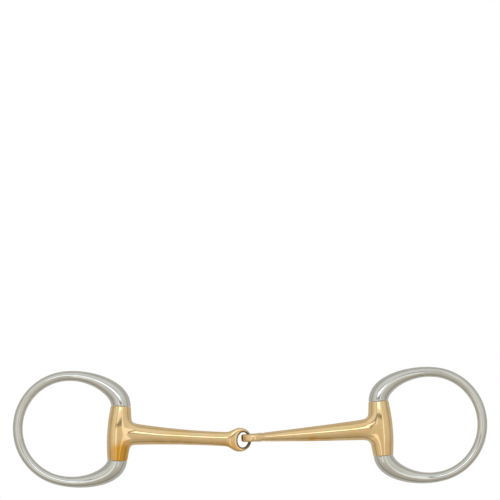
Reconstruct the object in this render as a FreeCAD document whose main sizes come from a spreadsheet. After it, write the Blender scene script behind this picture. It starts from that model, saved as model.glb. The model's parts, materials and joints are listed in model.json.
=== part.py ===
import FreeCAD, Part
import math
import os

import Sketcher
from FreeCAD import Placement, Rotation, Vector

# Single-jointed eggbutt snaffle bit, in millimetres.
#
# Each side is a cast mouthpiece half (an egg-shaped barrel, a tapering cannon and an eye), a cheek
# ring whose two shoulders close on the ends of the barrel, and a hinge pin that runs through the
# barrel into a blind socket in each shoulder. The eyes are linked like chain: the left one lies
# flat, the right one stands on edge through it.
#
# Side frame, in which every piece is drawn: origin at the middle of the barrel, +Y along the
# barrel, +X outwards through the cheek ring, so that the cannon runs towards -X.
# Row frame: the bit lies on a table at Z = 0, with +X from the left ring to the right one, +Y
# along the barrels, and its origin under the middle of the whole bit.

SIZES = (
    # alias, value, meaning
    ("ring_bore", 53.8, "clear width inside the cheek ring"),
    ("ring_wire", 5.5, "thickness of the ring away from its shoulders"),
    ("ring_setback", 0.7, "how far the ring's circle stands out from just clearing the barrel axis"),
    ("ring_offset", 0.6, "how far the ring's circle lies off the middle of the barrel, along it"),
    ("shoulder_start", 78.0, "angle on the ring, from its far side, where a shoulder begins"),
    ("shoulder_run", 0.473, "fullness of a shoulder along the ring, as a curve handle"),
    ("shoulder_bend", 1.16, "bend of a shoulder's centre line at the seam, in seam radii"),
    ("shoulder_swell", 2.2, "how late the wire swells into its shoulder, as a power"),
    ("barrel_length", 30.6, "length of the barrel between the shoulders"),
    ("barrel_end", 11.1, "diameter of the barrel and of the shoulder at their seam"),
    ("barrel_belly", 13.4, "diameter at the middle of the egg-shaped barrel"),
    ("barrel_edge", 0.35, "rounding of the barrel's end edges"),
    ("seam_gap", 0.15, "end play between the barrel and a shoulder"),
    ("pin_width", 5.0, "diameter of the hinge pin"),
    ("pin_play", 0.08, "running clearance of the pin in the barrel, on the radius"),
    ("pin_seat", 4.8, "depth to which the pin enters a shoulder"),
    ("pin_tip", 0.2, "empty depth left beyond the end of the pin"),
    ("pin_chamfer", 0.5, "chamfer on the ends of the pin"),
    ("left_reach", 67.6, "barrel axis to eye centre, left half"),
    ("right_reach", 71.8, "barrel axis to eye centre, right half"),
    ("left_bow", 0.8, "how far the left cannon has curved off square where it reaches its eye"),
    ("right_bow", 1.3, "the same for the right cannon"),
    ("cannon_root", 12.0, "diameter of the cannon inside the barrel"),
    ("cannon_wide", 13.6, "width in the plane of the eye that the taper would have at the barrel axis"),
    ("cannon_deep", 12.6, "thickness across that plane that it would have there"),
    ("cannon_waist", 7.9, "narrowest width of the cannon, in the plane of its eye"),
    ("cannon_edge", 5.3, "thickness of the cannon at its eye, across that plane"),
    ("taper_start", 0.12, "share of the reach where the taper leaves the barrel"),
    ("taper_end", 0.8, "share of the reach where the cannon is narrowest"),
    ("root_fillet", 2.2, "fillet between the cannon and the barrel"),
    ("neck_fillet", 6.0, "hollow radius between the cannon and its eye"),
    ("eye_width", 13.4, "outer diameter of an eye"),
    ("eye_thick", 4.2, "thickness of an eye"),
    ("eye_rim", 1.9, "width of the rim at the tip of an eye"),
    ("eye_round", 0.42, "rounding of the rim's edges, as a share of the rim"),
    ("eye_play", 0.9, "room for the linked rim to turn over in the hole, on each side"),
    ("side_play", 2.1, "room in the hole beside the linked rim, on each side"),
    ("link_gap", 2.1, "gap between the rims along the bit, as they lie"),
    ("link_shift", 1.1, "how far the right eye lies off the middle of the left one, across the bit"),
    ("fold_shift", 0.65, "how far past the middle of the right eye's hole the halves fold"),
    ("vee_angle", 4.5, "angle by which each barrel leans from square to the bit"),
)

doc = FreeCAD.newDocument("eggbutt_snaffle")
sheet = doc.addObject("Spreadsheet::Sheet", "Sizes")
for row, (alias, value, meaning) in enumerate(SIZES, start=1):
    sheet.set(f"A{row}", meaning)
    sheet.set(f"B{row}", str(value))
    sheet.setAlias(f"B{row}", alias)
doc.recompute()

ACROSS = Vector(1, 0, 0)
ALONG = Vector(0, 1, 0)
UP = Vector(0, 0, 1)
TOUCH = 1e-3  # two edges nearer than this are taken as the same place


# --- helpers --------------------------------------------------------------------------------------


def size(alias):
    """The value in a cell of the sheet."""
    return float(sheet.get(alias))


def bind(item, **formulas):
    """Ties properties of a document object to formulas on the sheet."""
    for name, formula in formulas.items():
        item.setExpression(name, formula)
    return item


def primitive(kind, name, at, **formulas):
    """A primitive of the Part workbench, placed, with its sizes tied to the sheet."""
    item = bind(doc.addObject(kind, name), **formulas)
    item.Placement = at
    return item


def combined(kind, name, base, tool):
    """The Part::Cut of base by tool, or the Part::Fuse of the two."""
    item = doc.addObject(kind, name)
    item.Base = base
    item.Tool = tool
    doc.recompute()
    return item


def rounded(name, base, radius, wanted):
    """base with a fillet on each edge that the test picks out."""
    item = doc.addObject("Part::Fillet", name)
    item.Base = base
    item.Edges = [
        (number, radius, radius) for number, edge in enumerate(base.Shape.Edges, start=1) if wanted(edge)
    ]
    doc.recompute()
    return item


def lofted(name, sections):
    item = doc.addObject("Part::Loft", name)
    item.Sections = sections
    item.Solid = True
    item.Ruled = False
    doc.recompute()
    return item


def facing(direction, long_axis):
    """The rotation that points a flat section's normal along direction, its X towards long_axis."""
    return Rotation(Vector(long_axis), UP, Vector(direction), "ZXY")


# --- the cheek ring -------------------------------------------------------------------------------

RING_RADIUS = size("ring_bore") / 2 + size("ring_wire") / 2
RING_CENTRE = Vector(size("ring_bore") / 2 + size("ring_setback"), -size("ring_offset"), 0)
SEAM = size("barrel_length") / 2 + size("seam_gap")
SHOULDER_STEPS = 8
RING_STEPS = 12


def on_ring(angle):
    """A point of the ring's circle and the direction of travel there."""
    turn = math.radians(angle)
    place = RING_CENTRE + Vector(math.cos(turn), math.sin(turn), 0) * RING_RADIUS
    return place, Vector(-math.sin(turn), math.cos(turn), 0)


def on_shoulder(share, sign):
    """A point of a shoulder's centre line, from the ring (0) to the seam (1), and its direction.
    The sign is +1 for the upper shoulder and -1 for the lower one."""
    start, heading = on_ring(sign * size("shoulder_start"))
    end = Vector(0, sign * SEAM, 0)
    first = start + heading * (sign * size("shoulder_run") * start.x)
    # the last handle sets the bend at the seam, which stays wider than the section it carries
    bend = size("shoulder_bend") * size("barrel_end") / 2
    second = end + Vector(0, sign * math.sqrt(2 / 3 * first.x * bend), 0)
    rest = 1 - share
    place = (
        start * rest**3
        + first * (3 * rest**2 * share)
        + second * (3 * rest * share**2)
        + end * share**3
    )
    slope = (
        (first - start) * rest**2
        + (second - first) * (2 * rest * share)
        + (end - second) * share**2
    )
    return place, slope


def shoulder(sign):
    """Stations of one shoulder, from the ring to the seam: place, direction, swelling from 0 to 1."""
    stations = []
    for step in range(1, SHOULDER_STEPS + 1):
        share = step / SHOULDER_STEPS
        place, slope = on_shoulder(share, sign)
        stations.append((place, slope, math.sin(share * math.pi / 2) ** size("shoulder_swell")))
    return stations


def ring_route():
    """Stations all the way round, from the lower seam to the upper one."""
    lower = [(place, slope * -1, swelling) for place, slope, swelling in reversed(shoulder(-1))]
    start = size("shoulder_start")
    middle = []
    for step in range(RING_STEPS + 1):
        place, heading = on_ring(-start + 2 * start * step / RING_STEPS)
        middle.append((place, heading, 0.0))
    return lower + middle + shoulder(1)


def cheek_ring(side):
    """The ring and its shoulders in one swept piece, with a blind socket in each shoulder's end."""
    sections = []
    for number, (place, heading, swelling) in enumerate(ring_route()):
        section = primitive(
            "Part::Circle",
            f"{side}_ring_section_{number}",
            Placement(place, facing(heading, UP)),
            Radius=f"(Sizes.ring_wire + (Sizes.barrel_end - Sizes.ring_wire) * {swelling:.6f}) / 2",
        )
        sections.append(section)
    blank = lofted(f"{side}_ring_blank", sections)
    depth = SEAM + size("pin_seat") + size("pin_tip")
    sockets = primitive(
        "Part::Cylinder",
        f"{side}_ring_sockets",
        Placement(ALONG * -depth, Rotation(UP, ALONG)),
        Radius="Sizes.pin_width / 2",
        Height="Sizes.barrel_length + 2 * (Sizes.seam_gap + Sizes.pin_seat + Sizes.pin_tip)",
    )
    return combined("Part::Cut", f"{side}_cheek_ring", blank, sockets)


# --- the hinge pin --------------------------------------------------------------------------------


def hinge_pin(side):
    """A plain rod with chamfered ends, from one shoulder's socket to the other's."""
    body = doc.addObject("PartDesign::Body", f"{side}_hinge_pin")
    plane = next(item for item in body.Origin.OriginFeatures if item.Role == "XZ_Plane")
    sketch = body.newObject("Sketcher::SketchObject", f"{side}_pin_section")
    sketch.AttachmentSupport = [(plane, "")]
    sketch.MapMode = "FlatFace"
    circle = sketch.addGeometry(Part.Circle(Vector(0, 0, 0), UP, size("pin_width") / 2))
    sketch.addConstraint(Sketcher.Constraint("Coincident", circle, 3, -1, 1))
    width = sketch.addConstraint(Sketcher.Constraint("Diameter", circle, size("pin_width")))
    sketch.setExpression(f"Constraints[{width}]", "Sizes.pin_width")
    rod = body.newObject("PartDesign::Pad", f"{side}_pin_rod")
    rod.Profile = sketch
    rod.Midplane = True
    bind(rod, Length="Sizes.barrel_length + 2 * (Sizes.seam_gap + Sizes.pin_seat)")
    doc.recompute()
    flats = [
        f"Face{number}"
        for number, face in enumerate(rod.Shape.Faces, start=1)
        if face.Surface.TypeId == "Part::GeomPlane"
    ]
    ends = body.newObject("PartDesign::Chamfer", f"{side}_pin_ends")
    ends.Base = (rod, flats)
    bind(ends, Size="Sizes.pin_chamfer")
    doc.recompute()
    return body


# --- the mouthpiece half --------------------------------------------------------------------------

EYE_RADIUS = size("eye_width") / 2
EYE_SOFT = size("eye_rim") * size("eye_round")
HOLE_WIDTH = size("eye_thick") + 2 * size("eye_play")
HOLE_LENGTH = size("eye_thick") + 2 * size("side_play")
HOLE_FORWARD = EYE_RADIUS - size("eye_rim") - HOLE_WIDTH / 2
TAPER_STEPS = 7
NECK_STEPS = 3
# the cannon's end is buried in the eye, a little smaller than the eye is there
BURIED = 0.96


def barrel(side):
    """The egg-shaped barrel: a belly arc turned about the barrel axis, its end edges softened."""
    half = size("barrel_length") / 2
    end = size("barrel_end") / 2
    belly = size("barrel_belly") / 2
    low = Vector(0, -half, 0)
    high = Vector(0, half, 0)
    profile = doc.addObject("Sketcher::SketchObject", f"{side}_barrel_profile")
    bottom = profile.addGeometry(Part.LineSegment(low, low + ACROSS * end))
    arc = profile.addGeometry(Part.Arc(low + ACROSS * end, ACROSS * belly, high + ACROSS * end))
    top = profile.addGeometry(Part.LineSegment(high + ACROSS * end, high))
    axis = profile.addGeometry(Part.LineSegment(high, low))
    for first, second in ((bottom, arc), (arc, top), (top, axis), (axis, bottom)):
        profile.addConstraint(Sketcher.Constraint("Coincident", first, 2, second, 1))
    profile.addConstraint(Sketcher.Constraint("Horizontal", bottom))
    profile.addConstraint(Sketcher.Constraint("Horizontal", top))
    profile.addConstraint(Sketcher.Constraint("Symmetric", top, 2, bottom, 1, -1, 1))
    profile.addConstraint(Sketcher.Constraint("PointOnObject", arc, 3, -1))
    rise = belly - end
    measures = (
        (Sketcher.Constraint("DistanceX", bottom, 1, bottom, 2, end), "Sizes.barrel_end / 2"),
        (Sketcher.Constraint("DistanceY", axis, 2, axis, 1, 2 * half), "Sizes.barrel_length"),
        (
            Sketcher.Constraint("Radius", arc, (rise**2 + half**2) / (2 * rise)),
            "(Sizes.barrel_belly - Sizes.barrel_end) / 4"
            " + Sizes.barrel_length ^ 2 / (4 * (Sizes.barrel_belly - Sizes.barrel_end))",
        ),
    )
    for constraint, formula in measures:
        number = profile.addConstraint(constraint)
        profile.setExpression(f"Constraints[{number}]", formula)
    turned = doc.addObject("Part::Revolution", f"{side}_barrel_turned")
    turned.Source = profile
    turned.Axis = ALONG
    turned.Solid = True
    doc.recompute()

    def is_end_edge(edge):
        return edge.BoundBox.YLength < TOUCH

    return rounded(f"{side}_barrel_blank", turned, size("barrel_edge"), is_end_edge)


def deep_formula(share):
    """Half thickness of the cannon across the eye's plane, at a share of the reach."""
    return f"(Sizes.cannon_edge + (Sizes.cannon_deep - Sizes.cannon_edge) * {1 - share:.6f}) / 2"


def cannon_stations(reach):
    """Distance from the barrel axis, and formulas for the half width in the eye's plane and for
    the most that half the thickness may be, from inside the barrel to inside the eye."""
    stations = [(0.0, "Sizes.cannon_root / 2", "Sizes.cannon_root / 2")]
    start = size("taper_start")
    narrow = size("taper_end")
    for step in range(TAPER_STEPS + 1):
        share = start + (narrow - start) * step / TAPER_STEPS
        flare = (1 - share / narrow) ** 2
        wide = f"(Sizes.cannon_waist + (Sizes.cannon_wide - Sizes.cannon_waist) * {flare:.6f}) / 2"
        stations.append((share * reach, wide, deep_formula(share)))
    # the hollow neck is an arc that touches the waist line and the eye's rim
    hollow = size("neck_fillet")
    waist = size("cannon_waist") / 2
    begins = math.sqrt((EYE_RADIUS + hollow) ** 2 - (waist + hollow) ** 2)
    ends = begins * EYE_RADIUS / (EYE_RADIUS + hollow)
    for step in range(NECK_STEPS):
        back = begins + (ends - begins) * step / (NECK_STEPS - 1)
        spread = hollow - math.sqrt(hollow**2 - (begins - back) ** 2)
        wide = f"Sizes.cannon_waist / 2 + {spread:.6f}"
        stations.append((reach - back, wide, deep_formula(1 - back / reach)))
    # the end stops half way between the neck and the lip of the hole
    back = (ends + HOLE_WIDTH / 2 - HOLE_FORWARD + EYE_SOFT) / 2
    inside = math.sqrt(EYE_RADIUS**2 - back**2) * BURIED
    stations.append((reach - back, f"{inside:.6f}", f"Sizes.eye_thick / 2 * {BURIED}"))
    return stations


def eye(side, centre, heading, long_axis):
    """The eye: a thick disc with an oval hole nearer to its tip, all edges softened."""
    normal = long_axis.cross(heading).normalize()
    turn = facing(normal, long_axis)
    disc = primitive(
        "Part::Cylinder",
        f"{side}_eye_disc",
        Placement(centre - normal * (size("eye_thick") / 2), turn),
        Radius="Sizes.eye_width / 2",
        Height="Sizes.eye_thick",
    )
    oval = primitive(
        "Part::Ellipse",
        f"{side}_eye_oval",
        Placement(centre + heading * HOLE_FORWARD - normal * EYE_RADIUS, turn),
        MajorRadius="Sizes.eye_thick / 2 + Sizes.side_play",
        MinorRadius="Sizes.eye_thick / 2 + Sizes.eye_play",
    )
    hole = bind(doc.addObject("Part::Extrusion", f"{side}_eye_hole"), LengthFwd="Sizes.eye_width")
    hole.Base = oval
    hole.DirMode = "Custom"
    hole.Dir = normal
    hole.Solid = True
    doc.recompute()
    link = combined("Part::Cut", f"{side}_eye_link", disc, hole)

    def is_rim_edge(edge):
        return edge.Closed

    return rounded(f"{side}_eye", link, EYE_SOFT, is_rim_edge)


def mouthpiece(side, bow_sign, long_axis):
    """One half: barrel, cannon and eye. long_axis is the direction, in the side frame, that lies in
    the eye's plane across the cannon: ALONG for an eye that lies flat, UP for one on edge."""
    reach = size(f"{side}_reach")
    bow = bow_sign * size(f"{side}_bow")

    def on_axis(distance):
        """A point of the cannon's gently bowed axis, and its direction towards the eye."""
        share = distance / reach
        return Vector(-distance, bow * share**2, 0), Vector(-1, 2 * bow * share / reach, 0).normalize()

    sections = []
    for number, (distance, wide, deep) in enumerate(cannon_stations(reach)):
        place, heading = on_axis(distance)
        section = primitive(
            "Part::Ellipse",
            f"{side}_cannon_section_{number}",
            Placement(place, facing(heading, long_axis)),
            MajorRadius=wide,
            MinorRadius=f"min({wide}; {deep})",
        )
        sections.append(section)
    doc.recompute()
    cannon = lofted(f"{side}_cannon_blank", sections)
    tee = combined("Part::Fuse", f"{side}_tee", barrel(side), cannon)

    def is_root_edge(edge):
        """The line where the cannon comes out of the barrel."""
        box = edge.BoundBox
        beside_barrel = box.XMin > -size("barrel_belly") and box.XMax < -TOUCH
        return beside_barrel and box.YLength < size("barrel_length") / 2

    filleted = rounded(f"{side}_tee_filleted", tee, size("root_fillet"), is_root_edge)
    centre, heading = on_axis(reach)
    half = combined("Part::Fuse", f"{side}_half", filleted, eye(side, centre, heading, long_axis))
    bore = primitive(
        "Part::Cylinder",
        f"{side}_barrel_bore",
        Placement(ALONG * -size("barrel_length"), Rotation(UP, ALONG)),
        Radius="Sizes.pin_width / 2 + Sizes.pin_play",
        Height="2 * Sizes.barrel_length",
    )
    return combined("Part::Cut", f"{side}_mouthpiece", half, bore)


# --- the assembly, as the bit lies on a table -----------------------------------------------------

pieces = {
    "left_mouthpiece": mouthpiece("left", -1, ALONG),
    "right_mouthpiece": mouthpiece("right", 1, UP),
    "left_cheek_ring": cheek_ring("left"),
    "right_cheek_ring": cheek_ring("right"),
    "left_hinge_pin": hinge_pin("left"),
    "right_hinge_pin": hinge_pin("right"),
}

EYE_SPACING = 2 * (EYE_RADIUS - size("eye_rim")) - size("link_gap")
AXIS_HEIGHT = size("barrel_belly") / 2
# a ring droops about its barrel until its far side rests on the table
DROOP = math.degrees(
    math.asin((AXIS_HEIGHT - size("ring_wire") / 2) / (RING_CENTRE.x + RING_RADIUS))
)
lean = {
    "left": Rotation(UP, 180 - size("vee_angle")),
    "right": Rotation(UP, size("vee_angle")),
}
eye_from_barrel = {
    "left": lean["left"].multVec(Vector(-size("left_reach"), -size("left_bow"), 0)),
    "right": lean["right"].multVec(Vector(-size("right_reach"), size("right_bow"), 0)),
}
eye_centre = {
    "left": Vector(-EYE_SPACING / 2, 0, AXIS_HEIGHT),
    "right": Vector(EYE_SPACING / 2, size("link_shift"), AXIS_HEIGHT),
}


def lay_out(shift):
    """Puts every piece in the row frame, moved by shift."""
    for side, turn in lean.items():
        at = eye_centre[side] - eye_from_barrel[side] + shift
        drooped = turn.multiply(Rotation(ALONG, DROOP))
        pieces[f"{side}_mouthpiece"].Placement = Placement(at, turn)
        pieces[f"{side}_cheek_ring"].Placement = Placement(at, drooped)
        pieces[f"{side}_hinge_pin"].Placement = Placement(at, drooped)
    doc.recompute()


lay_out(Vector(0, 0, 0))
box = Part.makeCompound([piece.Shape for piece in pieces.values()]).optimalBoundingBox(False, False)
lay_out(Vector(-box.Center.x, -box.Center.y, 0))

for label, piece in pieces.items():
    piece.Label = label

failed = [item.Name for item in doc.Objects if "Invalid" in item.State or "Error" in item.State]
if failed:
    raise RuntimeError(f"these objects failed: {failed}")
for label, piece in pieces.items():
    shape = piece.Shape
    if shape.isNull() or not shape.isValid() or len(shape.Solids) != 1:
        raise RuntimeError(f"{label} is not one valid solid")

os.makedirs("parts", exist_ok=True)
for piece in pieces.values():
    piece.Shape.exportStep(os.path.join("parts", f"{piece.Label}.step"))
    print(f"{piece.Label}: {piece.Shape.Volume:.1f} mm3")

# the joint axes: each ring swings about its barrel, and the halves fold about a line square to the
# right eye, near the middle of its hole
for side, turn in lean.items():
    middle = pieces[f"{side}_mouthpiece"].Placement.Base
    print(f"{side}_ring_swing at {tuple(middle)} about {tuple(turn.multVec(ALONG))}")
    print(f"{side} outward {tuple(turn.multVec(ACROSS))}")
right_place = pieces["right_mouthpiece"].Placement
tip_heading = Vector(-1, 2 * size("right_bow") / size("right_reach"), 0).normalize()
right_eye = Vector(-size("right_reach"), size("right_bow"), 0)
fold_point = right_place.multVec(right_eye + tip_heading * (HOLE_FORWARD - size("fold_shift")))
fold_axis = right_place.Rotation.multVec(UP.cross(tip_heading * -1))
print(f"centre_fold at {tuple(fold_point)} about {tuple(fold_axis)}")
print(f"droop {DROOP:.4f} degrees, ring centre {tuple(RING_CENTRE)}, ring radius {RING_RADIUS:.3f}")
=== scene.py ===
# %% [markdown]
# # An eggbutt snaffle bit
# The bit is two gold-coloured castings linked in the middle, and a steel ring hinged on each end.
# The frame holds the same pieces as plain, exact solids, so it says where everything goes.
# We load it first.

import json
import math

import bmesh
import bpy
from mathutils import Matrix, Vector


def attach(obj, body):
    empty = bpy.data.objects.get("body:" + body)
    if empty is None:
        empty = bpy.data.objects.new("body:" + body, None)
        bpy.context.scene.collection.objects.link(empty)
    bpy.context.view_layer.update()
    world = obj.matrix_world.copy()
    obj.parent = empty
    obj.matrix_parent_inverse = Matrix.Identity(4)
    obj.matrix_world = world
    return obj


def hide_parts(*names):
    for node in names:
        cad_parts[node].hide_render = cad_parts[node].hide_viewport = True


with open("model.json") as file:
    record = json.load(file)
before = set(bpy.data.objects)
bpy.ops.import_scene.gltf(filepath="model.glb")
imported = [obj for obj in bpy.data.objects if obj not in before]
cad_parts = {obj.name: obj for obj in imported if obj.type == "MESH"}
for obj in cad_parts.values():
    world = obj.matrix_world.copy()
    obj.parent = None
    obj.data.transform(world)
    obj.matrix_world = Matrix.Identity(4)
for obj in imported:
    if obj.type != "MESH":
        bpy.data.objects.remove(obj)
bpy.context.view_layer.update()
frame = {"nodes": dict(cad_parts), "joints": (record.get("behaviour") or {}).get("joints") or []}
print("solids in the frame:", sorted(frame["nodes"]))

# %% [markdown]
# ## The camera
# The bit is seen from straight above. A short lens close by would bulge the middle, so we use a long
# lens from far away, which keeps the outline free of perspective. The bit sits in the lower part of
# the picture, so the camera looks at a point above it. The picture is also turned by a fraction of a
# degree, because the bit doesn't lie quite level in it.

# %% The camera
MM = 0.001
UP = Vector((0, 0, 1))
SIDES = ("left", "right")
hinges = {joint["child"]: joint for joint in frame["joints"]}
barrel_middle = {side: Vector(hinges[side + "_cheek"]["pos_m"]) for side in SIDES}

VIEW_WIDTH = 280 * MM
VIEW_DISTANCE = 2.6
VIEW_ROLL = math.radians(0.73)
ABOVE_BIT = 101.2 * MM
SENSOR = 36
CLIP_REACH = 4

bit_middle = (barrel_middle["left"] + barrel_middle["right"]) / 2
picture_up = Matrix.Rotation(-VIEW_ROLL, 3, "Z") @ Vector((0, 1, 0))
aim = bit_middle + picture_up * ABOVE_BIT
camera = bpy.data.objects.new("camera", bpy.data.cameras.new("camera"))
camera.data.sensor_width = SENSOR
camera.data.lens = SENSOR * VIEW_DISTANCE / VIEW_WIDTH
camera.data.clip_end = VIEW_DISTANCE * CLIP_REACH
camera.location = aim + UP * VIEW_DISTANCE
camera.rotation_euler = (0, 0, -VIEW_ROLL)
bpy.context.scene.collection.objects.link(camera)
bpy.context.scene.camera = camera
print("camera above", [round(value, 4) for value in aim], "lens", round(camera.data.lens, 1))

# %% [markdown]
# ## Hoops and sleeves
# Every piece here is a bar whose thickness changes along its length. Such a bar could be lathed, or
# drawn as a curve with a bevel. We lay hoops of points along it instead and bridge each hoop to the
# next, as a boat's skin covers its ribs. That gives an even cage of four-sided faces, and Blender's
# Subdivision Surface turns an even cage into a perfectly smooth skin, which polished metal needs.
# A smoothed hoop shrinks a little, so each one is made larger by the same share.

# %% Hoops and sleeves
HOOP_POINTS = 16
# the smooth skin lies at two thirds of a corner plus a sixth of each of its neighbours
SWELL = 6 / (4 + 2 * math.cos(2 * math.pi / HOOP_POINTS))


def lay_at(place, heading, across):
    """The matrix of a hoop at place: its normal points along heading, its X towards across."""
    forward = heading.normalized()
    side = (across - forward * across.dot(forward)).normalized()
    turn = Matrix((side, forward.cross(side), forward)).transposed()
    return Matrix.Translation(place) @ turn.to_4x4()


def hoop(bm, at, half_across, half_up, squareness=1.0):
    """The corners of a new hoop. A squareness under 1 pushes a round hoop towards a soft rectangle."""
    corners = bmesh.ops.create_circle(bm, segments=HOOP_POINTS, radius=1.0)["verts"]
    for corner in corners:
        corner.co.x = math.copysign(abs(corner.co.x) ** squareness, corner.co.x) * half_across * SWELL
        corner.co.y = math.copysign(abs(corner.co.y) ** squareness, corner.co.y) * half_up * SWELL
    bmesh.ops.transform(bm, matrix=at, verts=corners)
    return corners


print("each hoop has", HOOP_POINTS, "points and is made", round(SWELL, 4), "times as large")

# %% [markdown]
# ## Bridging and opening
# A sleeve is a row of hoops, each bridged to the next. To join one sleeve to the side of another, as
# the cannon joins the barrel, we could cut both with a Boolean. That leaves ragged faces, so we
# delete a patch of whole faces instead, and bridge round the opening to the other sleeve's last hoop.

# %% Bridging and opening


def rim(corners):
    """The edges that run round a new hoop, each once and in the same order on every run."""
    inside = set(corners)
    edges = (edge for corner in corners for edge in corner.link_edges)
    return list(dict.fromkeys(edge for edge in edges if inside.issuperset(edge.verts)))


def open_rim(corners):
    """The edges of a hoop at the end of a sleeve, where there is a face on one side only."""
    return [edge for edge in rim(corners) if edge.is_boundary]


def sleeve(bm, hoops, closed=False):
    """Bridges each hoop to the next, and the last to the first if closed."""
    following = hoops[1:] + hoops[:1] if closed else hoops[1:]
    for first, second in zip(hoops, following):
        bmesh.ops.bridge_loops(bm, edges=rim(first) + rim(second))


def opened(bm, corners):
    """Cuts away the faces that lie wholly between these corners. Returns the edges round the opening."""
    inside = set(corners)
    doomed = [face for face in bm.faces if inside.issuperset(face.verts)]
    bmesh.ops.delete(bm, geom=doomed, context="FACES")
    left = {corner for corner in inside if corner.is_valid}
    return [edge for edge in bm.edges if edge.is_boundary and left.issuperset(edge.verts)]


print("helpers ready: rim, open_rim, sleeve, opened")

# %% [markdown]
# ## From a cage to a piece
# Each side of the bit is modelled in its own small frame, in millimetres: the barrel's middle is the
# origin, Y runs along the barrel and X points away from the mouth. The hinge of that side says where
# this frame lies. A ring droops a little about its barrel, until its far side is as low as the barrel.
# The place goes into the mesh and not into the object, so that patterns on the metal stay put.

# %% From a cage to a piece
SMOOTHING = 2
MERGE_WITHIN = 0.001
RING_REACH = 57.25
WIRE = 5.5
BELLY = 13.4
droop = math.asin((BELLY - WIRE) / 2 / RING_REACH)


def side_frame(side, turn=0.0):
    """The matrix from a side's own frame, in millimetres, to the row frame."""
    hinge = hinges[side + "_cheek"]
    along = Vector(hinge["axis"]).normalized()
    basis = Matrix((along.cross(UP), along, UP)).transposed().to_4x4()
    place = Matrix.Translation(Vector(hinge["pos_m"]))
    return place @ basis @ Matrix.Rotation(turn, 4, "Y") @ Matrix.Scale(MM, 4)


def finished(name, bm, to_row, body, node):
    """Closes, places and smooths a cage, and makes it the piece that stands for a solid of the frame."""
    bmesh.ops.remove_doubles(bm, verts=bm.verts, dist=MERGE_WITHIN)
    bmesh.ops.transform(bm, matrix=to_row, verts=bm.verts)
    bmesh.ops.recalc_face_normals(bm, faces=bm.faces)
    mesh = bpy.data.meshes.new(name)
    bm.to_mesh(mesh)
    open_edges = sum(1 for edge in bm.edges if not edge.is_manifold)
    volume = round(bm.calc_volume() / MM**3)
    print(name, "cage faces", len(bm.faces), "open edges", open_edges, "cubic millimetres", volume)
    bm.free()
    mesh.shade_smooth()
    piece = bpy.data.objects.new(name, mesh)
    bpy.context.scene.collection.objects.link(piece)
    smooth = piece.modifiers.new("smooth skin", "SUBSURF")
    smooth.levels = SMOOTHING
    smooth.render_levels = SMOOTHING
    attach(piece, body)
    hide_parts(node)
    return piece


print("rings droop by", round(math.degrees(droop), 3), "degrees")

# %% [markdown]
# ## The route of a cheek ring
# A cheek ring is one steel forging: a round wire that swells, at each end of the barrel, into a
# shoulder as thick as the barrel. We could spin a circle for the wire and model the shoulders apart,
# but the join would show in the polish. So one route runs through all of it: an arc of the ring's
# circle and, at each end, a bend that brings it square to the barrel.

# %% The route of a cheek ring
RING_RADIUS = 29.65
RING_CENTRE = Vector((27.6, -0.6, 0))
BARREL_HALF = 15.3
SEAM_GAP = 0.15
SEAM = BARREL_HALF + SEAM_GAP
BARREL_END = 5.55
SHOULDER_AT = math.radians(78)
SHOULDER_RUN = 0.473
SHOULDER_BEND = 1.16 * BARREL_END
SHOULDER_SWELL = 2.2
SHOULDER_HOOPS = 12


def on_ring(turn):
    """A point of the ring's circle, and the way onwards there."""
    out = Vector((math.cos(turn), math.sin(turn), 0))
    return RING_CENTRE + out * RING_RADIUS, Vector((-out.y, out.x, 0))


def on_shoulder(share, sign):
    """A point of a shoulder's bend from the ring (0) to the seam (1), and the way onwards there."""
    start, heading = on_ring(sign * SHOULDER_AT)
    end = Vector((0, sign * SEAM, 0))
    first = start + heading * sign * SHOULDER_RUN * start.x
    # the bend's radius at the seam is 3/2 of this handle squared, over the first handle's X
    second = end + Vector((0, sign * math.sqrt(2 / 3 * first.x * SHOULDER_BEND), 0))
    rest = 1 - share
    place = start * rest**3 + first * 3 * rest**2 * share + second * 3 * rest * share**2 + end * share**3
    slope = (first - start) * rest**2 + (second - first) * 2 * rest * share + (end - second) * share**2
    return place, slope


def shoulder_route(sign):
    """Place, heading and half width of each hoop of a shoulder, from the ring to just before the seam."""
    route = []
    for step in range(1, SHOULDER_HOOPS):
        share = step / SHOULDER_HOOPS
        place, slope = on_shoulder(share, sign)
        swelling = math.sin(share * math.pi / 2) ** SHOULDER_SWELL
        route.append((place, slope * sign, WIRE / 2 + (BARREL_END - WIRE / 2) * swelling))
    return route


print("each shoulder has", len(shoulder_route(1)), "hoops between the wire and the seam")

# %% [markdown]
# ## The sockets
# In each shoulder's flat end is a blind socket for the hinge pin. Drilling it with a Boolean would
# break the even cage, so the hoops simply turn the corner: they cross the flat end inwards and then
# run down into the socket. Hoops that lie in one plane can be bridged with a twist, so the flat end
# is dished by a hair from hoop to hoop.

# %% The sockets
PIN_SEAT = 5.0
SOCKET = 2.52
EDGE_SOFT = 0.35
DISH = 0.02


def socket_route(sign):
    """The hoops of a shoulder's flat end and its socket, from the outer edge to the socket's floor."""
    steps = (
        (EDGE_SOFT, BARREL_END),
        (0.0, BARREL_END - DISH),
        (DISH, BARREL_END - EDGE_SOFT),
        (2 * DISH, SOCKET + EDGE_SOFT),
        (3 * DISH, SOCKET),
        (EDGE_SOFT, SOCKET),
        (PIN_SEAT - EDGE_SOFT, SOCKET),
        (PIN_SEAT, SOCKET),
        (PIN_SEAT + DISH, SOCKET - EDGE_SOFT),
    )
    return [(Vector((0, sign * (SEAM + depth), 0)), Vector((0, -1, 0)), half) for depth, half in steps]


print("each socket is", PIN_SEAT, "mm deep and", 2 * SOCKET, "mm wide")

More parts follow.
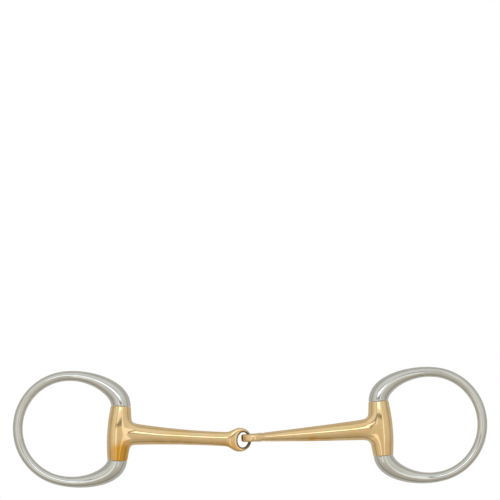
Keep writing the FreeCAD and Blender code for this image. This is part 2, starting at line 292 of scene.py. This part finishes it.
# %% [markdown]
# ## The cheek rings
# The reins and the bridle's cheekpieces buckle round these rings. Both are alike, so one function
# makes either: it strings the two sockets, the two shoulders and the arc into one route, lays the
# hoops, bridges them and fills the socket floors.

# %% The cheek rings
ARC_HOOPS = 30


def cheek_ring(side):
    """One ring with its shoulders and sockets, from socket floor to socket floor."""
    route = list(reversed(shoulder_route(-1) + socket_route(-1)))
    for step in range(ARC_HOOPS + 1):
        place, heading = on_ring(SHOULDER_AT * (2 * step / ARC_HOOPS - 1))
        route.append((place, heading, WIRE / 2))
    route += shoulder_route(1) + socket_route(1)
    bm = bmesh.new()
    hoops = [hoop(bm, lay_at(place, heading, UP), half, half) for place, heading, half in route]
    sleeve(bm, hoops)
    for floor_hoop in (hoops[0], hoops[-1]):
        bmesh.ops.edgeloop_fill(bm, edges=rim(floor_hoop))
    name = side + "_cheek_ring"
    return finished(name + "_forged", bm, side_frame(side, droop), side + "_cheek", name)


rings = [cheek_ring(side) for side in SIDES]

# %% [markdown]
# ## The barrel
# Each half of the mouthpiece is one casting: an egg-shaped barrel, bored through for the pin, a
# cannon that tapers towards the middle of the mouth, and an eye. The barrel could be spun from its
# outline, but the casting isn't quite round: it is dressed flatter over the cannon's root. So it
# is a closed sleeve, out along the egg and back through the bore. The cannon springs from its side,
# so the faces between five of its hoops are cut away there.

# %% The barrel
BORE = 2.58
ROOT_HALF = 7.1
CUT_TURN = math.radians(67.5)
ALONG = Vector((0, 1, 0))
NEAR = 0.01
PLATEAU = 0.16
PLATEAU_END = 11.0
EGG_ROWS = [BARREL_HALF - EDGE_SOFT, 13.2, 10.6, ROOT_HALF, 4.0]


def barrel_half_width(along):
    """Half the egg's width at a distance from its middle: an arc from end to belly to end."""
    belly = BELLY / 2
    rise = belly - BARREL_END
    arc = (rise**2 + BARREL_HALF**2) / (2 * rise)
    return belly - arc + math.sqrt(arc**2 - along**2)


def plateau(along):
    """How square the section is: dressed flat over the cannon's root, and round towards the ends."""
    return 1 - PLATEAU * max(0.0, 1 - (along / PLATEAU_END) ** 2)


def barrel(bm):
    """Builds the bored barrel, and returns the edges round the opening for the cannon."""
    rows = [-along for along in EGG_ROWS] + [0.0] + list(reversed(EGG_ROWS))
    walls = [(along, barrel_half_width(along)) for along in rows]
    end = [
        (BARREL_HALF, BARREL_END - DISH),
        (BARREL_HALF - DISH, BARREL_END - EDGE_SOFT),
        (BARREL_HALF - 2 * DISH, BORE + EDGE_SOFT),
        (BARREL_HALF - 3 * DISH, BORE),
        (BARREL_HALF - EDGE_SOFT, BORE),
        (BARREL_HALF / 2, BORE),
    ]
    tour = walls + end + [(-along, half) for along, half in reversed(end)]
    hoops = []
    for number, (along, half) in enumerate(tour):
        squareness = plateau(along) if number < len(walls) else 1.0
        hoops.append(hoop(bm, lay_at(ALONG * along, ALONG, UP), half, half, squareness))
    sleeve(bm, hoops, closed=True)
    reach = math.cos(CUT_TURN) * (1 - NEAR)
    cut = []
    for (along, half), corners in zip(walls, hoops):
        if abs(along) <= ROOT_HALF + NEAR:
            level = reach ** plateau(along) * half * SWELL
            cut += [corner for corner in corners if -corner.co.x >= level]
    return opened(bm, cut)


print("the barrel is", round(2 * barrel_half_width(0), 1), "mm wide, and", 2 * BARREL_END, "mm at its ends")

# %% [markdown]
# ## The eye
# One eye lies flat and the other stands on edge, so that they link like chain. An eye is a bar bent
# round an oval hole, so it is a closed sleeve too, with its hoops standing round the hole. The hole's
# size matters for more than looks: the other eye's rim has to turn through 90 degrees inside it. The
# cannon's opening is cut at the neck, between five hoops and across five corners of each.

# %% The eye
EYE_RADIUS = 6.7
EYE_THICK = 4.2
EYE_RIM = 1.9
HOLE_WIDTH = 6.0
HOLE_LENGTH = 8.4
HOLE_FORWARD = EYE_RADIUS - EYE_RIM - HOLE_WIDTH / 2
NECK_TURN = math.radians(52)
NECK_STEPS = 2
NECK_CUT_TURN = math.radians(45)
EYE_SQUARE = 0.78
NECK_SQUARE = 0.45
EYE_DRESSED = 0.985
NECK_SWELL = 0.40


def eye(bm, centre, heading, long_axis):
    """Builds the eye round its oval hole, and returns the edges round the opening for the cannon."""
    normal = long_axis.cross(heading).normalized()
    near = [NECK_TURN * step / NECK_STEPS for step in range(-NECK_STEPS, NECK_STEPS + 1)]
    gap = (2 * math.pi - 2 * NECK_TURN) / (HOOP_POINTS - 2 * NECK_STEPS)
    far = [NECK_TURN + gap * step for step in range(1, HOOP_POINTS - 2 * NECK_STEPS)]
    hoops = []
    cut = []
    for turn in near + far:
        back = -heading * math.cos(turn)
        aside = long_axis * math.sin(turn)
        outer = (back + aside) * EYE_RADIUS
        inner = heading * HOLE_FORWARD + back * HOLE_WIDTH / 2 + aside * HOLE_LENGTH / 2
        middle = centre + (outer + inner) / 2 * SWELL
        across = (outer - inner).normalized()
        half = (outer - inner).length / 2
        at = lay_at(middle, normal.cross(across), across)
        neckward = max(0.0, math.cos(turn)) ** 2
        squareness = EYE_SQUARE + (NECK_SQUARE - EYE_SQUARE) * neckward
        corners = hoop(bm, at, half, EYE_THICK / 2 * EYE_DRESSED + NECK_SWELL * neckward, squareness)
        hoops.append(corners)
        if abs(turn) <= NECK_TURN + NEAR:
            reach = (math.cos(NECK_CUT_TURN) ** squareness - NEAR) * half * SWELL
            cut += [corner for corner in corners if (corner.co - middle).dot(across) >= reach]
    sleeve(bm, hoops, closed=True)
    return opened(bm, cut)


print("the eye's hole is", HOLE_WIDTH, "by", HOLE_LENGTH, "mm, with a rim of", EYE_RIM, "mm")

# %% [markdown]
# ## The cannon
# The cannon is the part that lies on the horse's tongue. It is thick and nearly round at the barrel,
# thins towards the eye, and bows a little, so plain scaling of a cylinder wouldn't do. Each hoop gets
# its own width in the eye's plane and its own thickness across it. The last two hoops follow a hollow
# arc into the eye's shoulders, as a foundry would fillet the neck.

# %% The cannon
CANNON_WIDE = 13.6
CANNON_WAIST = 7.9
CANNON_DEEP = 12.6
CANNON_EDGE = 4.3
TAPER_START = 0.125
TAPER_END = 0.8
TAPER_HOOPS = 12
NECK_HOLLOW = 6.0
NECK_HOOPS = 3


def cannon_route(reach):
    """Distance from the barrel, half width in the eye's plane and half thickness of each hoop."""
    route = []
    for step in range(TAPER_HOOPS + 1):
        share = TAPER_START + (TAPER_END - TAPER_START) * step / TAPER_HOOPS
        wide = (CANNON_WAIST + (CANNON_WIDE - CANNON_WAIST) * (1 - share / TAPER_END) ** 2) / 2
        deep = (CANNON_EDGE + (CANNON_DEEP - CANNON_EDGE) * (1 - share)) / 2
        route.append((share * reach, wide, min(wide, deep)))
    waist = CANNON_WAIST / 2
    begins = math.sqrt((EYE_RADIUS + NECK_HOLLOW) ** 2 - (waist + NECK_HOLLOW) ** 2)
    ends = begins * EYE_RADIUS / (EYE_RADIUS + NECK_HOLLOW)
    for step in range(NECK_HOOPS - 1):
        back = begins + (ends - begins) * step / (NECK_HOOPS - 1)
        wide = waist + NECK_HOLLOW - math.sqrt(NECK_HOLLOW**2 - (begins - back) ** 2)
        deep = (CANNON_EDGE + (CANNON_DEEP - CANNON_EDGE) * back / reach) / 2
        route.append((reach - back, wide, deep))
    return route


print("a cannon has", TAPER_HOOPS + NECK_HOOPS, "hoops")

# %% [markdown]
# ## The mouthpiece halves
# Now the barrel, the cannon and the eye become one casting. Both joins are bridges from an opening to
# the cannon's open end, and smoothing turns them into soft hollows. The barrel's opening has more
# edges than the cannon has round, so that bridge gets a few triangles. The two halves differ a little
# in length and bow, and one eye is turned by a quarter, so the function takes these as inputs.

# %% The mouthpiece halves
ROOT_FADE = 1.6
LEFT_REACH = 67.6
LEFT_BOW = -0.8
RIGHT_REACH = 71.8
RIGHT_BOW = 1.3


def mouthpiece(side, reach, bow, long_axis):
    """One half: its eye is long along long_axis and lies at reach from the barrel, bow to one side."""
    bm = bmesh.new()
    root = barrel(bm)
    hoops = []
    for distance, wide, deep in cannon_route(reach):
        share = distance / reach
        place = Vector((-distance, bow * share**2, 0))
        heading = Vector((-1, 2 * bow * share / reach, 0))
        hoops.append(hoop(bm, lay_at(place, heading, long_axis), wide, deep, plateau(distance / ROOT_FADE)))
    sleeve(bm, hoops)
    heading = Vector((-1, 2 * bow / reach, 0)).normalized()
    neck = eye(bm, Vector((-reach, bow, 0)), heading, long_axis)
    print(side, "openings have", len(root), "and", len(neck), "edges, the cannon", HOOP_POINTS)
    bmesh.ops.bridge_loops(bm, edges=root + open_rim(hoops[0]))
    bmesh.ops.bridge_loops(bm, edges=neck + open_rim(hoops[-1]))
    name = side + "_mouthpiece"
    return finished(name + "_cast", bm, side_frame(side), side + "_half", name)


halves = [
    mouthpiece("left", LEFT_REACH, LEFT_BOW, ALONG),
    mouthpiece("right", RIGHT_REACH, RIGHT_BOW, UP),
]

# %% [markdown]
# ## Marks on polished metal
# Polished metal is never one flat colour. A casting keeps a slow waviness under its polish, the
# polishing wheel leaves hair-fine lines, and handling leaves faint cloudy patches. All the metals of
# the bit show these, so each mark is made once as a node group with a few inputs, and each metal sets
# its own values. A few helpers keep the node code short. Object coordinates are in metres.

# %% Helpers for nodes
# the colour sockets of a Mix node have no names of their own
MIX_FIRST = 6
MIX_SECOND = 7
MIX_RESULT = 2


def new_group(name, inputs, outputs):
    """An empty shader group with number sockets, its input and output nodes."""
    group = bpy.data.node_groups.new(name, "ShaderNodeTree")
    for label, value in inputs.items():
        socket = group.interface.new_socket(name=label, in_out="INPUT", socket_type="NodeSocketFloat")
        socket.default_value = value
    for label in outputs:
        group.interface.new_socket(name=label, in_out="OUTPUT", socket_type="NodeSocketFloat")
    return group, group.nodes.new("NodeGroupInput"), group.nodes.new("NodeGroupOutput")


def node(tree, kind, inputs=None, **settings):
    """A new node with its settings, each input a number or another node's output."""
    made = tree.nodes.new(kind)
    for label, value in settings.items():
        setattr(made, label, value)
    for label, value in (inputs or {}).items():
        if isinstance(value, bpy.types.NodeSocket):
            tree.links.new(value, made.inputs[label])
        else:
            made.inputs[label].default_value = value
    return made


def sums(tree, operation, *values):
    """The outcome of a Math node, for numbers or other nodes' outputs."""
    return node(tree, "ShaderNodeMath", dict(enumerate(values)), operation=operation).outputs[0]


def ramp_between(tree, value, low, high):
    """Stretches the part of a value between low and high to the range 0 to 1."""
    settings = {"Value": value, "From Min": low, "From Max": high, "To Min": 0.0, "To Max": 1.0}
    return node(tree, "ShaderNodeMapRange", settings, clamp=True).outputs["Result"]


print("helpers ready: new_group, node, sums, ramp_between")

# %% [markdown]
# ## Casting waves
# A cast surface is never perfectly even, and buffing follows its swells instead of removing them. That
# is why a highlight on a real bit wavers. We could push the mesh about, but swells this shallow are
# better as a bump: a slow noise gives the height, and each metal says how deep it is.

# %% Casting waves
WAVE_DETAIL = 1.5
WAVE_ROUGHNESS = 0.4


def casting_waves():
    """Slow waves left under the polish: a height that is 0.5 on average."""
    group, inside, outside = new_group("casting waves", {"Wave scale": 90.0}, ["Height"])
    place = node(group, "ShaderNodeTexCoord").outputs["Object"]
    settings = {
        "Vector": place,
        "Scale": inside.outputs["Wave scale"],
        "Detail": WAVE_DETAIL,
        "Roughness": WAVE_ROUGHNESS,
    }
    wave = node(group, "ShaderNodeTexNoise", settings)
    group.links.new(wave.outputs["Fac"], outside.inputs["Height"])
    return group


marks = {"waves": casting_waves()}
print("made the group", marks["waves"].name)

# %% [markdown]
# ## Polishing lines
# A polishing wheel drags grit along the metal and leaves hair-fine lines. One direction of lines looks
# like brushed sheet metal, and a bit is turned in the hand while it is buffed, so we lay three
# directions over each other and keep the deepest. Each is a noise stretched along one axis.

# %% Polishing lines
LINE_STRETCH = (0.06, 1.0, 1.0)
LINE_TURNS = (0.3, 1.2, 2.2)
LINE_DETAIL = 2.0
LINE_SHALLOW = 0.36
LINE_DEEP = 0.28


def polishing_lines():
    """Hair-fine lines in three directions, and the mask of where they are deepest."""
    group, inside, outside = new_group("polishing lines", {"Line scale": 3000.0}, ["Height", "Mask"])
    place = node(group, "ShaderNodeTexCoord").outputs["Object"]
    total = None
    for turn in LINE_TURNS:
        settings = {"Vector": place, "Rotation": (turn / 2, 0.0, turn), "Scale": LINE_STRETCH}
        turned = node(group, "ShaderNodeMapping", settings).outputs["Vector"]
        settings = {"Vector": turned, "Scale": inside.outputs["Line scale"], "Detail": LINE_DETAIL}
        lines = node(group, "ShaderNodeTexNoise", settings).outputs["Fac"]
        total = lines if total is None else sums(group, "MINIMUM", total, lines)
    group.links.new(total, outside.inputs["Height"])
    group.links.new(ramp_between(group, total, LINE_SHALLOW, LINE_DEEP), outside.inputs["Mask"])
    return group


marks["lines"] = polishing_lines()
print("made the group", marks["lines"].name)

# %% [markdown]
# ## Handling
# Fingers and damp dull a polished bit in faint clouds, and tiny pits hold specks of polish. One noise,
# cut at two ranges, gives a broad cloud and clearer patches. A Voronoi pattern gives the specks: close
# to a cell's middle its distance is small, so a narrow range of it is a dot.

# %% Handling
PATCH_NOISE = {"Detail": 5.0, "Roughness": 0.55, "Distortion": 0.6}
CLOUD_RANGE = (0.25, 0.60)
PATCH_RANGE = (0.42, 0.68)
SPECK_SCALE = 520.0
SPECK_RANGE = (0.09, 0.03)


def handling():
    """Faint cloudy patches from fingers and damp, and tiny specks."""
    group, inside, outside = new_group("handling", {"Patch scale": 140.0}, ["Cloud", "Patches", "Specks"])
    place = node(group, "ShaderNodeTexCoord").outputs["Object"]
    settings = {"Vector": place, "Scale": inside.outputs["Patch scale"], **PATCH_NOISE}
    cloud = node(group, "ShaderNodeTexNoise", settings).outputs["Fac"]
    group.links.new(ramp_between(group, cloud, *CLOUD_RANGE), outside.inputs["Cloud"])
    group.links.new(ramp_between(group, cloud, *PATCH_RANGE), outside.inputs["Patches"])
    settings = {"Vector": place, "Scale": SPECK_SCALE}
    speck = node(group, "ShaderNodeTexVoronoi", settings).outputs["Distance"]
    group.links.new(ramp_between(group, speck, *SPECK_RANGE), outside.inputs["Specks"])
    return group


marks["handling"] = handling()
print("made the group", marks["handling"].name)

# %% [markdown]
# ## Edges and shaded hollows
# Proud edges are rubbed bright, and hollows are painted darker. Partly this is painted shade, where less
# light reaches, and partly it is the dark polish that stays there. The Geometry node's Pointiness tells
# the two apart: it is one half on flat metal, more on an edge and less in a hollow.

# %% Edges and hollows
POINT_FLAT = 0.5
POINT_EDGE = 0.51
POINT_HOLLOW = 0.49


def edges_and_hollows():
    """Where the metal is rubbed bright on proud edges, and where hollows are painted shade and keep polish.
    """
    group, inside, outside = new_group("edges and hollows", {"Reach": 0.06}, ["Edges", "Shaded hollows"])
    point = node(group, "ShaderNodeNewGeometry").outputs["Pointiness"]
    high = sums(group, "ADD", POINT_FLAT, inside.outputs["Reach"])
    low = sums(group, "SUBTRACT", POINT_FLAT, inside.outputs["Reach"])
    group.links.new(ramp_between(group, point, POINT_EDGE, high), outside.inputs["Edges"])
    group.links.new(ramp_between(group, point, POINT_HOLLOW, low), outside.inputs["Shaded hollows"])
    return group


marks["edges"] = edges_and_hollows()
print("node groups:", [group.name for group in marks.values()])

# %% [markdown]
# ## Painted amber and painted shade
# Some marks have a place. Amber is painted here and there onto the -Y sides of the casting, as a
# painted reflection of the gold mirroring itself and the dim, warm side of the tent. The inside of
# each eye's hole is painted dark as shade, and made rough, as it is never polished. An image could
# carry them, but an oval mask is enough. A Mapping node of the texture kind moves the oval's middle to
# zero and its radii to one, and then distance does the rest.

# %% Painted amber and painted shade
def metres(*sizes):
    """Sizes in millimetres, turned to metres."""
    return tuple(size * MM for size in sizes)


def oval_patch(tree, centre, radii, softness, turn=(0.0, 0.0, 0.0)):
    """A mask that is 1 in an oval round a point of the piece and fades out over its edge."""
    place = node(tree, "ShaderNodeTexCoord").outputs["Object"]
    settings = {"Vector": place, "Location": centre, "Rotation": turn, "Scale": radii}
    local = node(tree, "ShaderNodeMapping", settings, vector_type="TEXTURE").outputs["Vector"]
    distance = node(tree, "ShaderNodeVectorMath", {0: local}, operation="LENGTH").outputs["Value"]
    return ramp_between(tree, distance, 1.0 + softness, 1.0 - softness)


# amber painted on the -Y sides of the gold: a painted reflection of the gold mirroring itself and the dim,
# warm side of the tent
PAINTED_AMBER = (0.74, 0.38, 0.06)
# the inside of each eye's hole is painted this dark, as shade
EYE_HOLE_PAINTED_SHADE = (0.10, 0.06, 0.03)
# in metres: far longer than an eye is thick, so that the oval marks its hole right through
RIGHT_THROUGH = 20.0
LEVEL = (0.0, 0.0, 0.0)
ON_EDGE = (math.pi / 2, 0.0, math.radians(4.5))
# each eye hole, painted dark as shade: middle, radii and turn
eye_hole = {
    "left": (metres(-3.4, -7.0, 6.7), (*metres(4.1, 5.1), RIGHT_THROUGH), LEVEL),
    "right": (metres(-0.3, -6.0, 6.7), (*metres(2.8, 3.8), RIGHT_THROUGH), ON_EDGE),
}
# each painted amber reflection: middle, radii and strength
amber_reflections = {
    "left": [
        (metres(-71.5, -13.5, 11.5), metres(5.0, 6.0, 6.0), 1.9),
        (metres(-35.0, -12.0, 8.0), metres(38.0, 5.0, 6.0), 0.6),
    ],
    "right": [(metres(36.5, -8.5, 8.5), metres(9.0, 3.0, 6.0), 0.9)],
}
print("stains:", {side: len(spots) for side, spots in amber_reflections.items()})

# %% [markdown]
# ## A polished metal
# A metal's colour is the colour of its reflections. Every metal of the bit follows one recipe: the
# marks above change its colour and roughness, and a very shallow bump bends its reflections. The
# Principled shader does the rest, with Metallic at one. The amounts below are how strongly each mark
# shows, and they are small, because a mark on clean metal should only just be seen.

# %% Mixing colours and bumps
def mixed(tree, amount, first, second):
    """A colour between two, each a plain colour or another node's output."""
    made = node(tree, "ShaderNodeMix", data_type="RGBA")
    tree.links.new(amount, made.inputs["Factor"])
    for socket, value in ((made.inputs[MIX_FIRST], first), (made.inputs[MIX_SECOND], second)):
        if isinstance(value, bpy.types.NodeSocket):
            tree.links.new(value, socket)
        else:
            socket.default_value = (*value, 1.0)
    return made.outputs[MIX_RESULT]


def scaled(tree, value, factor, plus=0.0):
    """A value times a factor, plus a number."""
    return sums(tree, "MULTIPLY_ADD", value, factor, plus)


def bumped(tree, height, depth, **below):
    """The normal of a bump of that depth, laid over another normal if there is one."""
    settings = {"Height": height, "Strength": 1.0, "Distance": depth, **below}
    return node(tree, "ShaderNodeBump", settings).outputs["Normal"]


def placed(tree, mark, **values):
    """The outputs of a mark's group, placed in a material with its own values."""
    made = node(tree, "ShaderNodeGroup", node_tree=marks[mark])
    for socket, value in values.items():
        made.inputs[socket.replace("_", " ")].default_value = value
    return made.outputs


print("helpers ready: mixed, scaled, bumped, placed")

# %% [markdown]
# ## The recipe
# The recipe works from the whole surface to single places. It tints the metal where hands have dulled
# it, darkens specks and lines, and paints shade into the hollows. Then it lays the painted amber
# reflections and the painted shade inside the eye holes on top. The roughness follows the same masks,
# because dull metal is rough metal.

# %% The recipe
PATCH_TINT = 0.5
# how far hollows are darkened: painted shade, with the dark polish that stays there
HOLLOW_PAINTED_SHADE = 0.6
SPECK_DARK = 0.35
LINE_DARK = 0.15
PATCH_ROUGH = 0.05
LINE_ROUGH = 0.08
EDGE_POLISH = -0.04
AMBER_SOFT = 0.45
HOLE_MASK_SOFT = 0.10
HOLE_SHADE_AMOUNT = 0.9
DULL_ROUGH = 0.25


def polished_metal(name, finish, amber_reflections=(), shaded_rough_holes=()):
    """A metal from its finish, with its painted amber reflections and its eye holes painted dark as shade.
    """
    material = bpy.data.materials.new(name)
    material.use_nodes = True
    tree = material.node_tree
    shader = tree.nodes["Principled BSDF"]
    shader.inputs["Metallic"].default_value = 1.0
    waves = placed(tree, "waves", Wave_scale=finish["wave_scale"])
    lines = placed(tree, "lines")
    hands = placed(tree, "handling")
    edges = placed(tree, "edges")
    # the colour of dark polish in specks and lines, and of the painted shade in hollows
    dark_polish_and_shade = finish["dark_polish_and_shade"]

    colour = mixed(tree, scaled(tree, hands["Patches"], PATCH_TINT), finish["main"], finish["tarnish"])
    # painted shade in the hollows, with the dark polish that stays there
    colour = mixed(tree, scaled(tree, edges["Shaded hollows"], HOLLOW_PAINTED_SHADE), colour, dark_polish_and_shade)
    colour = mixed(tree, scaled(tree, hands["Specks"], SPECK_DARK), colour, dark_polish_and_shade)
    colour = mixed(tree, scaled(tree, lines["Mask"], LINE_DARK), colour, dark_polish_and_shade)
    rough = scaled(tree, hands["Patches"], PATCH_ROUGH, finish["roughness"])
    # painted amber reflections, broken up by the cloud
    for centre, radii, strength in amber_reflections:
        mask = oval_patch(tree, centre, radii, AMBER_SOFT)
        painted_amber_blotch = sums(tree, "MULTIPLY", mask, hands["Cloud"])
        colour = mixed(tree, scaled(tree, painted_amber_blotch, strength), colour, PAINTED_AMBER)
    # inside each eye's hole: painted dark as shade, and rougher, as it is never polished
    for centre, radii, turn in shaded_rough_holes:
        mask = oval_patch(tree, centre, radii, HOLE_MASK_SOFT, turn)
        colour = mixed(tree, scaled(tree, mask, HOLE_SHADE_AMOUNT), colour, EYE_HOLE_PAINTED_SHADE)
        rough = sums(tree, "ADD", rough, scaled(tree, mask, DULL_ROUGH))
    rough = sums(tree, "ADD", rough, scaled(tree, lines["Mask"], LINE_ROUGH))
    rough = sums(tree, "ADD", rough, scaled(tree, edges["Edges"], EDGE_POLISH))
    slow = bumped(tree, waves["Height"], finish["wave_depth"])
    fine = bumped(tree, lines["Height"], finish["line_depth"], Normal=slow)
    tree.links.new(colour, shader.inputs["Base Color"])
    tree.links.new(rough, shader.inputs["Roughness"])
    tree.links.new(fine, shader.inputs["Normal"])
    return material


print("the recipe lays", len(marks), "kinds of marks")

# %% [markdown]
# ## The three metals
# The mouthpiece is a copper alloy that reflects warm gold. The rings are stainless steel, a slightly
# warm grey, and smoother than any casting. The pins are ground and never polished, so they are
# duller, with deeper lines. Each half has its own copy of the gold, because its painted amber
# reflections and the painted shade in its eye hole lie elsewhere.

# %% The three metals
# in each finish, the dark colour serves the dark polish in specks and lines and the painted shade in
# hollows
GOLD = {
    "main": (0.87, 0.635, 0.34),
    "tarnish": (0.82, 0.55, 0.21),
    "dark_polish_and_shade": (0.24, 0.12, 0.04),
    "roughness": 0.05,
    "wave_scale": 70.0,
    "wave_depth": 0.35 * MM,
    "line_depth": 0.002 * MM,
}
STEEL = {
    "main": (0.67, 0.665, 0.605),
    "tarnish": (0.58, 0.57, 0.515),
    "dark_polish_and_shade": (0.28, 0.26, 0.23),
    "roughness": 0.04,
    "wave_scale": 60.0,
    "wave_depth": 0.12 * MM,
    "line_depth": 0.001 * MM,
}
GROUND = {
    "main": (0.60, 0.59, 0.57),
    "tarnish": (0.50, 0.49, 0.47),
    "dark_polish_and_shade": (0.25, 0.24, 0.22),
    "roughness": 0.28,
    "wave_scale": 60.0,
    "wave_depth": 0.02 * MM,
    "line_depth": 0.006 * MM,
}
golds = {}
for side in SIDES:
    golds[side] = polished_metal(side + " polished copper alloy", GOLD, amber_reflections[side], [eye_hole[side]])
steel = polished_metal("polished stainless", STEEL)
ground = polished_metal("ground pin steel", GROUND)
print("metals:", [material.name for material in (*golds.values(), steel, ground)])

# %% [markdown]
# ## Dressing the pieces
# The new pieces carry their metal in their mesh. The pins are still the frame's own solids, whose
# meshes we never change, so a pin gets its metal through the material slot of its object.

# %% Dressing the pieces
for side, piece in zip(SIDES, halves):
    piece.data.materials.append(golds[side])
for piece in rings:
    piece.data.materials.append(steel)
for side in SIDES:
    pin_slot = frame["nodes"][side + "_hinge_pin"].material_slots[0]
    pin_slot.link = "OBJECT"
    pin_slot.material = ground
print("dressed", len(halves), "halves,", len(rings), "rings and", len(SIDES), "pins")

# %% [markdown]
# ## The floor
# Polished metal shows whatever is round it, so the studio draws half of the picture. Under the bit is
# a plain white floor. It lies well below, so that no half or ring folds into it. The camera sees it
# as pure white, without any shadow, and the metal sees it as softly lit paper.

# %% The floor
TABLE_HALF = 6.0
TABLE_DROP = 150 * MM
TABLE_SEEN = 1.0
TABLE_WHITE = (0.80, 0.79, 0.77, 1.0)
WHITE = (1, 1, 1, 1)

bm = bmesh.new()
bmesh.ops.create_grid(bm, x_segments=1, y_segments=1, size=TABLE_HALF)
table_mesh = bpy.data.meshes.new("table")
bm.to_mesh(table_mesh)
bm.free()
table = bpy.data.objects.new("table", table_mesh)
table.location.z = -TABLE_DROP
bpy.context.scene.collection.objects.link(table)

paper = bpy.data.materials.new("white table")
paper.use_nodes = True
tree = paper.node_tree
tree.nodes.clear()
seen = node(tree, "ShaderNodeEmission", {"Color": WHITE, "Strength": TABLE_SEEN}).outputs[0]
lit = node(tree, "ShaderNodeBsdfDiffuse", {"Color": TABLE_WHITE}).outputs[0]
direct = node(tree, "ShaderNodeLightPath").outputs["Is Camera Ray"]
paper_mix = node(tree, "ShaderNodeMixShader", {0: direct, 1: lit, 2: seen}).outputs[0]
tree.links.new(paper_mix, node(tree, "ShaderNodeOutputMaterial").inputs["Surface"])
table_mesh.materials.append(paper)
print("the floor lies", TABLE_DROP, "m below the bit")

# %% [markdown]
# ## The tent's cloth
# Round the bit is a tent of white cloth, brighter on one side than the other and dimmer low down. It
# could be built from lamps and sheets, but a world shader is simpler and less noisy: the direction
# of a reflection says what it sees. Y, the direction across the room, picks the cloth's tint, and Z,
# its height, dims it towards the floor.

# %% The tent's cloth
WALLS = (
    (0.0, (0.48, 0.45, 0.39)),
    (0.2, (0.60, 0.56, 0.50)),
    (0.5, (0.74, 0.73, 0.70)),
    (1.0, (0.90, 0.92, 0.93)),
)
HORIZON = (
    (0.00, (0.48, 0.48, 0.48)),
    (0.12, (0.70, 0.70, 0.70)),
    (0.36, (0.97, 0.97, 0.97)),
    (1.00, (1.04, 1.04, 1.04)),
)

world = bpy.data.worlds.new("light tent")
bpy.context.scene.world = world
world.use_nodes = True
tree = world.node_tree
tree.nodes.clear()


def light_ramp(value, stops):
    """A colour that changes with a value from 0 to 1, through the given stops."""
    ramp = tree.nodes.new("ShaderNodeValToRGB")
    while len(ramp.color_ramp.elements) < len(stops):
        ramp.color_ramp.elements.new(1.0)
    for element, (position, light) in zip(ramp.color_ramp.elements, stops):
        element.position = position
        element.color = (*light, 1.0)
    tree.links.new(value, ramp.inputs["Fac"])
    return ramp.outputs["Color"]


way = node(tree, "ShaderNodeTexCoord").outputs["Generated"]
parts = node(tree, "ShaderNodeSeparateXYZ", {0: way}).outputs
# Y runs from -1 to 1, and a ramp from 0 to 1
walls = light_ramp(sums(tree, "MULTIPLY_ADD", parts["Y"], 0.5, 0.5), WALLS)
height = light_ramp(parts["Z"], HORIZON)
walls_lit = node(tree, "ShaderNodeMix", {0: 1.0}, data_type="RGBA", blend_type="MULTIPLY")
tree.links.new(walls, walls_lit.inputs[MIX_FIRST])
tree.links.new(height, walls_lit.inputs[MIX_SECOND])
cloth = walls_lit.outputs[MIX_RESULT]
print("the cloth has", len(WALLS), "tints across and", len(HORIZON), "heights")

# %% [markdown]
# ## The lamps
# Crisp highlights need lamps with edges, and the thin dark lines beside them come from a lamp's
# frame. A lamp is a rectangle in the ceiling. How far a direction leans, X over Z and Y over Z, is a
# place in the ceiling, so a lamp is given as a range across and a range along. One framed lamp with a
# bright core makes the long streaks, and three soft ones lift the sides.

# %% The lamps
LAMP_FRAME = 0.065
LAMP_EDGE = 0.03
FRAME_DARK = 0.62
LOWEST_RISE = 0.05
HORIZON_FADE = 0.1
LAMP_LIGHT = 0.80
BRIGHT_LIGHT = 0.90
LAMP_TINT = (0.94, 1.0, 1.14, 1.0)
# each lamp: its range across and its range along
MAIN_LAMP = ((-0.45, 0.25), (0.11, 0.50))
BRIGHT_CORE = ((-0.34, 0.20), (0.20, 0.42))
# each soft lamp: the same, and its strength
SOFT_LAMPS = (
    ((-1.30, -0.55), (-0.80, 0.90), 0.12),
    ((0.25, 0.46), (-0.45, 0.50), 0.40),
    ((-0.46, -0.22), (-0.45, 0.10), 0.50),
)


def window(across, along, grow=0.0):
    """A lamp's outline on the ceiling, grown by a margin: 1 inside and 0 outside."""
    above = sums(tree, "MAXIMUM", parts["Z"], LOWEST_RISE)
    mask = ramp_between(tree, parts["Z"], 0.0, HORIZON_FADE)
    for label, (near, far) in (("X", across), ("Y", along)):
        slope = sums(tree, "DIVIDE", parts[label], above)
        for edge, sign in ((near - grow, 1), (far + grow, -1)):
            side = ramp_between(tree, slope, edge, edge + sign * LAMP_EDGE)
            mask = sums(tree, "MULTIPLY", mask, side)
    return mask


def added(light, mask, strength):
    """The light so far, plus a lamp of that strength inside its mask."""
    return sums(tree, "MULTIPLY_ADD", mask, strength, light)


shade = added(1.0, window(*MAIN_LAMP, LAMP_FRAME), -FRAME_DARK)
glow = added(0.0, window(*MAIN_LAMP), LAMP_LIGHT)
glow = added(glow, window(*BRIGHT_CORE), BRIGHT_LIGHT)
for across, along, strength in SOFT_LAMPS:
    glow = added(glow, window(across, along), strength)
print("a main lamp with a bright core, and", len(SOFT_LAMPS), "soft ones")

# %% [markdown]
# ## The whole tent
# The cloth and the lamps are two lights that add up. The camera sees plain white behind the bit
# instead of the tent, so the shader asks whether a ray comes straight from the camera. The view
# transform is Standard, which leaves white paper white.

# %% The whole tent
tent_cloth = node(tree, "ShaderNodeBackground", {"Color": cloth, "Strength": shade}).outputs[0]
lamp_glow = node(tree, "ShaderNodeBackground", {"Color": LAMP_TINT, "Strength": glow}).outputs[0]
tent_light = node(tree, "ShaderNodeAddShader", {0: tent_cloth, 1: lamp_glow}).outputs[0]
white = node(tree, "ShaderNodeBackground", {"Color": WHITE, "Strength": 1.0}).outputs[0]
direct = node(tree, "ShaderNodeLightPath").outputs["Is Camera Ray"]
tent = node(tree, "ShaderNodeMixShader", {0: direct, 1: tent_light, 2: white}).outputs[0]
tree.links.new(tent, node(tree, "ShaderNodeOutputWorld").inputs["Surface"])
bpy.context.scene.view_settings.view_transform = "Standard"
print("the world shader has", len(tree.nodes), "nodes")
